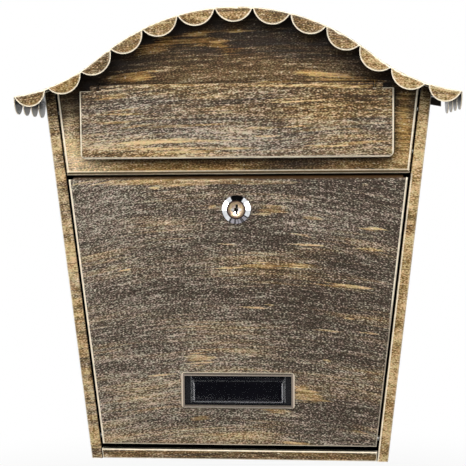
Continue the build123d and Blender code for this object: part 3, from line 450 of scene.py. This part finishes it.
class BrushedBronze(Graph):
    """Dark coat with gold brushed over it by hand, worn to cream along its edges.

    Strokes and lines leave gold on it, clouds change its tone, and painted shade darkens it in corners and
    under what stands over it.
    """

    stroke_fill = STROKE_FILL

    def __init__(self, name, weights, tone=0.0, gold=0.1, across=0.0, down=0.0, arc=0.3, tilt=0.0,
                 strokes=(), lines=(), clouds=(), inked_tone=0.9, inked_gold=0.6, drawn_tone=2.0,
                 edge=EDGE_RADIUS):
        super().__init__(name)
        self.at = self.place()
        self.x, self.y, self.z = self.split(self.at)
        self.nx, self.ny, self.nz = self.split(self.facing())
        self.front = self.times(self.ny, -1.0)
        self.below = self.times(self.nz, -1.0)
        self.side = self.times(self.nx, self.math("SIGN", self.x))
        self.brush(arc, tilt)
        self.draw(strokes, lines)

        # Tone and warmth of the coat, with painted shade in corners and under what stands over the surface
        self.painted_shade = self.step(self.openness(SHADE_REACH), *SHADED_OPENNESS)
        self.fuller = self.clouded(self.at, clouds)
        grain = self.times(self.grain, self.math("MULTIPLY_ADD", self.inked, -0.5, 1.0))
        marks = (grain, self.short, self.long, self.broad, self.patch, self.spots)
        self.level = self.total(*zip(marks, weights), (self.inked, inked_tone), (self.drawn, drawn_tone),
                                (self.painted_shade, PAINTED_SHADE_TONE), (self.x, across), (self.z, -down),
                                (self.fuller, 1.0), (1.0, tone))
        warmth = self.total((self.broad, 0.07), (self.patch, 0.08), (self.long, 0.08),
                            (self.inked, inked_gold), (self.drawn, 0.6), (self.z, -0.3 * down), (1.0, gold))
        self.warm = self.step(warmth, 0.0, 1.0)
        self.retouch()
        self.finish(self.wear(self.colour(), edge))

    def brush(self, arc, tilt):
        """The brush goes across the front in shallow arcs, and leaves marks of several sizes."""
        fallen = self.total((self.z, 1.0), (self.times(self.x, self.x), arc), (self.x, -tilt))
        wander = self.swing(self.at, WANDER, detail=0.0, offset=4.6)
        self.path = self.along(self.math("MULTIPLY_ADD", wander, WANDER_HEIGHT, fallen))
        self.grain = self.peaked(self.swing(self.path, GRAIN, detail=0.0), 0.06)
        short = self.swing(self.path, SHORT, detail=4.0, roughness=0.75, offset=1.3)
        self.short = self.peaked(short, 0.35)
        self.long = self.swing(self.path, LONG, detail=1.0, offset=7.7)
        self.broad = self.swing(self.path, BROAD, detail=1.0, offset=3.1)
        self.patch = self.swing(self.at, PATCH, detail=1.0, offset=5.0)
        self.spots = self.swing(self.at, SPOTS, detail=2.0, offset=2.2)

    def along(self, fallen):
        """The place on the brush's path."""
        return self.add("CombineXYZ", self.x, self.y, fallen)

    def draw(self, strokes, lines):
        """Where strokes and thin lines left gold, with ragged ends."""
        marked = self.within(self.at, strokes)
        ragged = self.total((marked, 2.0), (self.long, 0.25), (self.short, 0.25))
        self.inked = self.times(self.step(ragged, *self.stroke_fill), self.step(marked, *STROKE_FADE))
        fine = self.within(self.at, lines)
        ragged = self.total((fine, 2.0), (self.short, 0.30))
        self.drawn = self.times(self.step(ragged, *LINE_FILL), self.step(fine, *STROKE_FADE))

    def retouch(self):
        """What a piece changes in its tone."""

    def colours(self):
        """The dark, middle and light colour."""
        return [self.mix(self.warm, *pair) for pair in zip(BROWN, GOLDEN)]

    def speckled(self, colour):
        """What a piece adds to its grain."""
        return colour

    def colour(self):
        dark, middle, light = self.colours()
        colour = self.mix(self.ramp(self.level, DARKEST, 0.0), dark, middle)
        colour = self.speckled(self.mix(self.ramp(self.level, 0.0, LIGHTEST), colour, light))
        tint = self.step(self.swing(self.path, TINT, detail=1.0, offset=8.3), *MOST_OF_SWING)
        colour = self.mix(tint, self.tinted(colour, PINKER), self.tinted(colour, GREENER))
        fleck = self.step(self.noise(self.path, FLECKS, detail=0.0, offset=9.4), *FLECK_PEAK)
        colour = self.mix(self.times(fleck, self.step(self.level, *FLECK_TONE, 0.0, 0.5)), colour, CREAM)
        # Painted shade darkens the colour in corners and under what stands over the surface
        return self.mix(self.times(self.painted_shade, 0.9), colour, PAINTED_SHADE_COLOUR)

    def flat(self):
        """1 on the flat, less on bends."""
        return self.most(self.size(self.nx), self.size(self.ny), self.size(self.nz))

    def along_side(self, edge_x, low, high):
        """1 between two distances inside a leaning side edge."""
        inside = self.minus(self.math("MULTIPLY_ADD", self.z, SIDE_LEAN, edge_x), self.size(self.x))
        return self.between(inside, low, high, BLURRED)

    def bends(self, bent):
        """Which bends are worn."""
        return bent

    def edges(self, sharp):
        """Which cut edges are worn."""
        return sharp

    def wear(self, colour, edge):
        worn = self.most(self.bends(self.step(self.flat(), *BENT)), self.edges(self.worn_edge(edge)))
        rubbed = self.step(self.noise(self.at, RUBBED), *RUB, 0.80, 1.0)
        return self.mix(self.times(worn, rubbed), colour, CREAM)

    def ahead(self):
        """1 on the parts of a piece that lie at the front."""
        return self.step(self.y, *AHEAD_Y)

    def shown(self):
        """How far the surface turns to where it was brushed."""
        return self.front

    def inner(self):
        """The inner side keeps its plain dark coat."""
        return self.mix(self.step(self.grain, *MOST_OF_SWING), INNER_COAT, INNER_GREY)

    def finish(self, colour):
        covered = self.step(self.shown(), *COVERED)
        self.set(Base_Color=self.mix(covered, self.inner(), colour))
        rough = self.total((self.grain, 0.5), (self.warm, 0.8))
        more = self.minus(self.step(rough, *MOST_OF_SWING, *COAT_ROUGHNESS), INNER_ROUGHNESS)
        self.set(Roughness=self.math("MULTIPLY_ADD", more, covered, INNER_ROUGHNESS))
        self.set(Specular_IOR_Level=COAT_GLOSS)
        self.bump(self.total((self.noise(self.at, PEEL), 1.0), (self.long, 0.03)), *PEEL_BUMP)


class DoorBronze(BrushedBronze):
    """The door's coat, with painted shade on the top bend, and a pale rim round the name opening painted in
    light and shade.
    """

    def colour(self):
        # Painted shade on the top bend, under the panel's lower edge, fuller towards the right
        shaded_top = self.times(self.step(self.nz, 0.30, 0.62, 0.0, 0.92),
                               self.step(self.x, *TOP_SHADE_X, 0.5, 1.0))
        return self.mix(shaded_top, super().colour(), TOP_SHADE_BROWN)

    def bends(self, bent):
        # Bends are worn to cream, fully where they face left and less where they face right: wear with a
        # painted highlight of the light from the left. The top bend has none. A painted highlight runs
        # inside the side edges, all along the left and only higher up on the right.
        lit_bends = self.times(self.step(self.nz, 0.30, 0.15), self.step(self.nx, 0.3, -0.2, 0.45, 1.0))
        lit = self.most(self.step(self.x, *DOOR_LINE_X), self.step(self.z, *DOOR_LINE_Z))
        line = self.times(self.along_side(DOOR_SIDE_X, *DOOR_LINE), lit)
        return self.most(self.times(bent, lit_bends), line)

    def edges(self, sharp):
        return self.times(sharp, self.step(self.z, *DOOR_EDGE_Z))

    def wear(self, colour, edge):
        # The rim is painted as a rounded bead in light and shade, with painted highlights on its outer side
        # edges and along its top and bottom
        raised = self.step(self.y, *RIM_Y)
        inside = self.minus(RIM_SIDE_X, self.size(self.x))
        lines = self.most(self.between(self.z, *RIM_LOW_LINE_Z), self.between(self.z, *RIM_TOP_LINE_Z))
        rim = self.mix(lines, RIM_DARK, RIM_LINE_HIGHLIGHT)
        rim = self.mix(self.step(inside, *RIM_BROWN_X), rim, RIM_BROWN)
        rim = self.mix(self.step(inside, *RIM_SIDE_HIGHLIGHT_X), rim, RIM_SIDE_HIGHLIGHT)
        return self.mix(self.times(raised, 0.9), super().wear(colour, edge), rim)

    def shown(self):
        top = self.times(self.step(self.nz, 0.15, 0.25), self.step(self.z, *DOOR_UPPER_Z))
        return self.most(self.front, top)


class PanelBronze(BrushedBronze):
    """The upper front panel's coat, with painted shade under the roof, a painted shadow under the flap, and
    amber strokes.
    """

    stroke_fill = PANEL_STROKE_FILL

    def retouch(self):
        # Painted shade under the roof: the crown is darker and less warm except where strokes lie, and
        # darker still in an arc near the roof, less so where strokes or a fuller brush lie; a painted
        # shadow lies under the flap
        crown = self.step(self.z, *CROWN_Z)
        crown_shade = self.times(crown, self.minus(1.0, self.inked))
        self.level = self.total((self.level, 1.0), (crown_shade, CROWN_SHADE_TONE), (crown, CROWN_TONE))
        self.warm = self.math("MULTIPLY_ADD", crown_shade, CROWN_SHADE_WARMTH, self.warm, clamp=True)
        radius = self.length(self.minus(self.x, CROWN_MIDDLE_X), self.minus(self.z, CROWN_MIDDLE_Z))
        painted_shade = self.most(self.painted_shade, self.times(self.step(radius, *CROWN_SHADE_DISTANCE), 0.9))
        painted_shade = self.times(painted_shade, self.math("MULTIPLY_ADD", self.inked, -0.85, 1.0),
                            self.step(self.fuller, 1.0, 2.4, 1.0, 0.3))
        self.painted_shade = self.most(painted_shade, self.times(self.under_flap(), 0.85))

    def under_flap(self):
        """1 where the flap shades the panel."""
        return self.times(self.step(self.z, *FLAP_SHADOW_LOW_Z), self.step(self.x, *FLAP_SHADOW_LEFT_X),
                          self.step(self.x, *FLAP_SHADOW_RIGHT_X), self.step(self.z, *FLAP_SHADOW_TOP_Z))

    def colours(self):
        return [self.mix(self.inked, *pair) for pair in zip(super().colours(), AMBER)]

    def speckled(self, colour):
        speckle = self.total((self.grain, 0.11), (self.spots, 0.07))
        speckle = self.times(speckle, self.step(self.fuller, 0.4, 2.2))
        return self.scale(colour, self.plus(speckle, 1.0))

    def bends(self, bent):
        line = self.times(self.along_side(PANEL_SIDE_X, *PANEL_LINE), self.step(self.below, 0.10, 0.02))
        # The two lines along the lower bend are wear with painted highlights
        lines = self.most(self.between(self.z, *PANEL_HIGH_HIGHLIGHT_Z), self.between(self.z, *PANEL_LOW_HIGHLIGHT_Z))
        return self.most(line, self.times(lines, 0.6))

    def edges(self, sharp):
        return self.times(sharp, self.step(self.below, 0.30, 0.10), self.step(self.z, *CROWN_EDGE_Z))

    def wear(self, colour, edge):
        # A line of painted shade on the lower bend, and painted shade below it in the gap above the door
        bend_shade = self.times(self.between(self.z, *PANEL_SHADE_LINE_Z), self.step(self.front, 0.3, 0.5))
        colour = self.mix(bend_shade, colour, BEND_SHADE_BROWN)
        colour = self.mix(self.step(self.z, *PANEL_END_Z), colour, PAINTED_SHADE_COLOUR)
        return super().wear(colour, edge)


class FlapBronze(BrushedBronze):
    """The flap's coat, with a worn border, a plain roll and painted shade on its top below the roof."""

    def retouch(self):
        # Painted shade on the flap's top, below the roof
        self.level = self.total((self.level, 1.0), (self.step(self.z, *FLAP_TOP_SHADE_Z), FLAP_TOP_SHADE_TONE))

    def under_roll(self):
        """1 on the tray, 0 on the roll above it."""
        return self.step(self.z, *FLAP_ROLL_Z)

    def bends(self, bent):
        outer = self.minus(self.size(self.x), FLAP_SIDE_X - BORDER)
        lower = self.minus(FLAP_LOW_Z + BORDER, self.z)
        border = [self.step(past, -BLURRED, BLURRED) for past in (outer, lower)]
        return self.times(self.most(bent, *border), self.under_roll())

    def edges(self, sharp):
        return self.times(sharp, self.under_roll())


class SideBronze(BrushedBronze):
    """A side panel's coat, brushed on the outside and on the front strip."""

    def shown(self):
        return self.most(self.times(self.front, self.ahead()), self.side)


class LeftBronze(SideBronze):
    """The left side's coat, with painted shade under the eaves."""

    def retouch(self):
        # Painted shade under the eaves
        self.level = self.total((self.level, 1.0), (self.step(self.z, *LEFT_EAVE_SHADE_Z), LEFT_EAVE_SHADE_TONE))

    def bends(self, bent):
        return self.times(bent, self.step(self.side, -0.25, 0.0, 0.0, 0.6))

    def edges(self, sharp):
        return self.times(sharp, self.step(self.side, -0.25, 0.0))


class RightBronze(SideBronze):
    """The right side's coat, with a painted highlight along the strip's edge beside the door."""

    def bends(self, bent):
        # Painted highlight along the strip's inner edge beside the door, of the light from the left
        lit = self.times(self.along_side(STRIP_SIDE_X, *STRIP_LINE), self.step(self.z, *BESIDE_DOOR_Z),
                         self.step(self.z, *STRIP_LINE_Z, 0.7, 1.0))
        return self.most(lit, self.times(bent, self.step(self.side, -0.25, 0.0, 0.0, 0.35)))


class BottomBronze(BrushedBronze):
    """The bottom's coat, brushed from below and on the front lip."""

    def shown(self):
        lip = self.times(self.nz, self.step(self.z, *LIP_Z))
        return self.most(self.times(self.most(self.front, lip), self.ahead()), self.below)


class RoofBronze(BrushedBronze):
    """The roof's coat, brushed over the top from end to end, with a painted reflection of the white
    surroundings on the inner side of the tips at its ends.
    """

    def along(self, fallen):
        on_top = self.step(self.size(self.ny), 0.5, 0.3)
        fallen = self.plus(self.times(on_top, self.y), self.times(self.minus(1.0, on_top), fallen))
        return self.add("CombineXYZ", self.x, 0.0, fallen)

    def flat(self):
        return self.most(self.size(self.ny), self.length(self.nx, self.nz))

    def shown(self):
        return self.most(self.front, self.side, self.nz)

    def inner(self):
        # Painted reflection of the white surroundings on the inner side of the end scallops' tips
        tip = self.times(self.step(self.size(self.x), *TIP_X), self.step(self.z, *TIP_Z),
                         self.step(self.y, *TIP_Y, 0.7, 1.4))
        return self.mix(tip, super().inner(), TIP_REFLECTION_GREY)


def plated(name, colour, roughness, scratch=0.08):
    """Bright metal with fine scratches and a little clouding."""
    g = Graph(name)
    place = g.place()
    cloud = g.noise(place, CLOUDING, detail=3.0)
    lines = g.noise(place, SCRATCHES, detail=2.0)
    darker = tuple(0.8 * c for c in colour[:3]) + (1,)
    g.set(Base_Color=g.mix(g.step(cloud, 0.35, 0.65), darker, colour))
    g.set(Metallic=1.0)
    g.set(Roughness=g.plus(g.times(lines, scratch), roughness - scratch / 2))
    g.bump(lines, *SCRATCH_BUMP)
    return g


def plug_face(name):
    """Worn brass, smoother and with a painted reflection round the keyway, painted shade inside it, and a
    ring of painted shade at its rim.
    """
    g = Graph(name)
    place = g.place()
    x, _, z = g.split(place)
    above = g.minus(z, LOCK_Z)
    height = g.size(above)
    mottle = g.noise(place, PLUG_MOTTLE, detail=3.0)
    lines = g.noise(place, SCRATCHES, detail=2.0)
    slant = g.plus(height, g.size(x))
    # Painted reflection: a bright diamond round the keyway, where the face is also smoother
    painted_reflection = g.times(g.step(slant, *REFLECTION_REACH), g.step(above, *REFLECTION_TOP, 0.3, 1.0))
    keyway_x = g.step(height, KEYWAY_STEP_Z - SHARP, KEYWAY_STEP_Z + SHARP, *KEYWAY_X)
    beside = g.minus(g.size(g.minus(x, keyway_x)), KEYWAY_HALF)
    # Painted shade inside the keyway
    keyway_shaded = g.times(g.step(beside, *KEYWAY_BLUR), g.step(g.minus(height, KEYWAY_TOP_Z), *KEYWAY_BLUR))
    colour = g.mix(g.step(mottle, 0.36, 0.62), PLUG_PINK, PLUG_GOLD)
    # Painted shade in a ring between the plug and the housing
    colour = g.mix(g.step(g.length(x, above), *PLUG_SHADE_RING_RADIUS), colour, PLUG_SHADE_RING)
    colour = g.mix(painted_reflection, colour, PLUG_REFLECTION)
    g.set(Base_Color=g.mix(keyway_shaded, colour, KEYWAY_SHADE))
    g.set(Metallic=1.0)
    g.set(Roughness=g.total((painted_reflection, -0.20), (lines, 0.10), (1.0, 0.31)))
    g.bump(lines, *SCRATCH_BUMP)
    return g


def dark_plastic(name, colour, roughness, gloss=0.3):
    """Black plastic, foam or card with a fine grain."""
    g = Graph(name)
    grain = g.noise(g.place(), PLASTIC_GRAIN, detail=2.0)
    lighter = tuple(1.8 * c for c in colour[:3]) + (1,)
    g.set(Base_Color=g.mix(g.step(grain, 0.3, 0.7), colour, lighter))
    g.set(Specular_IOR_Level=gloss)
    g.set(Roughness=g.step(grain, 0.2, 0.8, roughness - 0.06, roughness + 0.06))
    g.bump(grain, *PLASTIC_BUMP)
    return g


def dark_coat(name):
    """Plain dark powder coat, mottled, scuffed and worn along its edges and round the screw holes."""
    g = Graph(name)
    place = g.place()
    x, _, z = g.split(place)
    mottle = g.noise(place, COAT_MOTTLE, detail=4.0, roughness=0.65)
    grain = g.noise(place, COAT_GRAIN)
    scuffs = g.times(g.step(g.noise(place, SCUFFS, detail=2.0, offset=2.7), 0.60, 0.74),
                     g.step(g.noise(place, SCUFFED, offset=6.1), 0.46, 0.62))
    from_screw = g.length(g.minus(g.size(x), SCREW_X), g.minus(g.size(z), SCREW_Z))
    pressed = g.times(g.step(from_screw, *SCREW_PRESSED), g.step(mottle, 0.35, 0.60, 0.3, 0.9))
    colour = g.mix(g.step(mottle, 0.30, 0.70), COAT_BLACK, COAT_BROWN)
    colour = g.mix(g.step(grain, 0.35, 0.75, 0.0, 0.4), colour, COAT_LIGHT)
    colour = g.mix(g.most(g.times(scuffs, 0.7), pressed, g.worn_edge(BACK_EDGE_RADIUS)), colour, COAT_WORN)
    g.set(Base_Color=colour)
    g.set(Roughness=g.step(g.total((mottle, 0.6), (grain, 0.4)), 0.3, 0.7, 0.36, 0.56))
    g.set(Specular_IOR_Level=0.3)
    g.bump(g.total((g.noise(place, PEEL), 1.0), (scuffs, -0.4)), *PEEL_BUMP)
    return g


def clear_pane(name):
    """Clear plastic, a little hazy, with painted highlights as pale lines along its bevels."""
    g = Graph(name)
    place = g.place()
    x, _, z = g.split(place)
    haze = g.noise(place, HAZE, detail=3.0)
    across = g.size(x)
    outer_x, inner_x = PANE_LINES_X
    mitred_x = g.add("MapRange", z, *PANE_MITRE_Z, inner_x, outer_x)
    # Painted highlights along the pane's bevels, where less light passes through
    outer, inner, low = (g.step(g.size(g.minus(at, line)), PANE_LINE, PANE_LINE / 3)
                         for at, line in ((across, outer_x), (across, mitred_x), (z, PANE_LOW_Z)))
    inner = g.times(inner, g.step(z, PANE_LOW_Z - PANE_LINE, PANE_LOW_Z))
    low = g.times(low, g.step(across, inner_x + PANE_LINE, inner_x))
    g.set(Base_Color=PANE_CLEAR)
    g.set(Transmission_Weight=g.math("MULTIPLY_ADD", g.most(outer, inner, low), -0.24, 1.0))
    g.set(IOR=1.49)
    g.set(Specular_IOR_Level=0.2)
    g.set(Roughness=g.step(haze, 0.3, 0.8, 0.01, 0.06))
    return g


def dress(graph, *names):
    """Give the named pieces a material."""
    for name in names:
        nodes[name].material_slots[0].material = graph.material


door = DoorBronze("bronze_door", FINE, gold=0.05, tone=-0.64, across=-3.2, down=2.4, arc=0.8,
                  strokes=DOOR_STROKES, lines=DOOR_LINES, clouds=DOOR_CLOUDS,
                  inked_tone=0.8, inked_gold=0.5)
panel = PanelBronze("bronze_panel", SOFT, tone=-0.40, gold=0.80, tilt=0.02,
                    strokes=PANEL_STROKES, clouds=PANEL_CLOUDS, inked_tone=1.2)
flap = FlapBronze("bronze_flap", STREAKED, gold=0.42, tone=0.05, across=-1.0, arc=0.1, tilt=0.045,
                  strokes=FLAP_STROKES, lines=FLAP_LINES, clouds=FLAP_CLOUDS,
                  inked_tone=0.5, inked_gold=0.4, drawn_tone=1.2)
dress(door, "door_panel")
dress(panel, "upper_front_panel")
dress(flap, "mail_flap")
dress(LeftBronze("bronze_left", BANDED, gold=0.66, tone=0.76, down=-3.0), "left_side_panel")
dress(RightBronze("bronze_right", BANDED, gold=1.0, tone=0.74), "right_side_panel")
dress(BottomBronze("bronze_bottom", SOFT, gold=0.5, tone=-0.62), "bottom_panel")
dress(RoofBronze("bronze_roof", EVEN, gold=0.84, tone=0.06, across=1.6, edge=ROOF_EDGE_RADIUS), "roof")
dress(dark_coat("coated_back"), "back_panel", "flap_hinge_rod")
dress(plated("chrome", CHROME, 0.07), "lock_housing")
dress(plug_face("brass_plug"), "lock_plug")
dress(plated("brass_wafers", WAFER_BRASS, 0.25), "lock_wafers")
dress(plated("zinc_steel", ZINC, 0.32, 0.14), "front_panel_rivets", "left_door_hinge_pin",
      "right_door_hinge_pin", "lock_washer", "lock_nut", "lock_cam", "cam_washer", "cam_screw")
dress(dark_plastic("black_holder", HOLDER_BLACK, 0.25), "name_holder")
dress(dark_plastic("black_foam", FOAM_BLACK, 0.85), "name_gasket")
dress(dark_plastic("black_card", CARD_BLACK, 0.8, 0.0), "name_card")
dress(clear_pane("clear_pane"), "name_window")

# Camera
scene = bpy.context.scene
camera = bpy.data.objects.new("camera", bpy.data.cameras.new("camera"))
scene.collection.objects.link(camera)
turn = (Matrix.Rotation(math.radians(CAMERA_TURN), 3, "Z")
        @ Matrix.Rotation(math.radians(CAMERA_PITCH), 3, "X")
        @ Matrix.Rotation(math.radians(CAMERA_ROLL), 3, "Y"))
right, forward, up = (turn.col[i] for i in range(3))
axes = Matrix((right, up, -forward)).transposed()
camera.matrix_world = Matrix.Translation(CAMERA_AT) @ axes.to_4x4()
camera.data.sensor_width = SENSOR
camera.data.lens = SENSOR * FOCAL_PIXELS / IMAGE_PIXELS
scene.camera = camera
scene.view_settings.view_transform = "Standard"


def seen_directly(tree):
    """1 for what the camera, metal or glass shows, and 0 for light that falls on the object."""
    path = tree.nodes.new("ShaderNodeLightPath")
    seen = path.outputs["Is Camera Ray"]
    for name in ("Is Glossy Ray", "Is Transmission Ray"):
        node = tree.nodes.new("ShaderNodeMath")
        node.operation = "MAXIMUM"
        tree.links.new(seen, node.inputs[0])
        tree.links.new(path.outputs[name], node.inputs[1])
        seen = node.outputs[0]
    return seen


# White surroundings that light the object only a little
world = bpy.data.worlds.new("studio")
scene.world = world
world.use_nodes = True
tree = world.node_tree
background = tree.nodes["Background"]
background.inputs["Color"].default_value = (1, 1, 1, 1)
level = tree.nodes.new("ShaderNodeMapRange")
tree.links.new(seen_directly(tree), level.inputs[0])
level.inputs["To Min"].default_value = AMBIENT
level.inputs["To Max"].default_value = 1.0
tree.links.new(level.outputs[0], background.inputs["Strength"])


def sheet_of(name, corners, material):
    """A flat piece of the studio."""
    mesh = bpy.data.meshes.new(name)
    mesh.from_pydata(corners, [], [tuple(range(len(corners)))])
    piece = bpy.data.objects.new(name, mesh)
    scene.collection.objects.link(piece)
    mesh.materials.append(material)
    return piece


def upright(left, right, low, high, y):
    return [(left, y, low), (right, y, low), (right, y, high), (left, y, high)]


def lying(left, right, near, far, z):
    return [(left, near, z), (right, near, z), (right, far, z), (left, far, z)]


# The floor takes the object's shadow near it, and is plain white further off
pale = Graph("pale_floor")
pale.set(Base_Color=FLOOR_PALE, Roughness=0.9, Specular_IOR_Level=0.1)
white = pale.nodes.new("ShaderNodeEmission")
blend = pale.nodes.new("ShaderNodeMixShader")
distance = pale.add("VectorMath", pale.place(), operation="LENGTH").node.outputs["Value"]
far = pale.step(distance, FLOOR_NEAR, FLOOR_FAR, 0.6, 1.0)
pale.links.new(pale.times(far, seen_directly(pale.material.node_tree)), blend.inputs[0])
pale.links.new(pale.shader.outputs[0], blend.inputs[1])
pale.links.new(white.outputs[0], blend.inputs[2])
pale.links.new(blend.outputs[0], pale.nodes["Material Output"].inputs["Surface"])
sheet_of("floor", lying(-FLOOR_REACH, FLOOR_REACH, -FLOOR_REACH, FLOOR_REACH, FLOOR_Z), pale.material)

# Cards in front, below and overhead, which only show as reflections in gloss
flag = Graph("dark_card")
flag.set(Base_Color=STUDIO_BLACK, Roughness=1.0, Specular_IOR_Level=0.0)
dusk = Graph("grey_card")
uneven = dusk.noise(dusk.place(), CARD_PATCHES, detail=1.0)
dusk.set(Base_Color=dusk.mix(dusk.step(uneven, 0.40, 0.60), STUDIO_DARK, STUDIO_GREY))
dusk.set(Roughness=1.0, Specular_IOR_Level=0.0)
for card in (
    sheet_of("front_card", upright(-0.85, 0.85, -0.9, 0.75, FRONT_CARD_Y), flag.material),
    sheet_of("low_card", lying(-0.4, 0.7, -0.9, -0.12, LOW_CARD_Z), dusk.material),
    sheet_of("top_card", lying(-0.8, 0.8, -1.5, 0.0, TOP_CARD_Z), flag.material),
):
    card.visible_camera = False
    card.visible_diffuse = False
    card.visible_shadow = False


def softbox(name, at, size, power, lights=True, reflects=True):
    """A lamp that lights the object, shows as a reflection in it, or both."""
    lamp = bpy.data.lights.new(name, "AREA")
    lamp.shape = "RECTANGLE"
    lamp.size, lamp.size_y = size
    lamp.energy = power
    holder = bpy.data.objects.new(name, lamp)
    scene.collection.objects.link(holder)
    holder.location = at
    holder.rotation_mode = "QUATERNION"
    holder.rotation_quaternion = (Vector(LAMP_AIM) - Vector(at)).to_track_quat("-Z", "Y")
    holder.visible_diffuse = lights
    holder.visible_glossy = reflects
    holder.visible_transmission = False


softbox("left_softbox", (-0.95, -0.85, 0.75), (0.6, 0.6), 8.2, reflects=False)
softbox("right_softbox", (0.95, -0.85, 0.75), (0.6, 0.6), 6.4, reflects=False)
softbox("top_softbox", (0.0, -0.68, 1.15), (1.1, 0.3), 14.0, reflects=False)
softbox("rear_softbox", (0.0, 1.10, 0.75), (0.8, 0.5), 8.0, reflects=False)
softbox("left_shine", (-0.90, -0.48, 0.28), (0.35, 0.70), 5.0, lights=False)
softbox("right_shine", (0.90, -0.48, 0.28), (0.35, 0.70), 5.0, lights=False)
softbox("front_shine", (0.0, -1.35, 0.70), (1.3, 0.25), 9.0, lights=False)
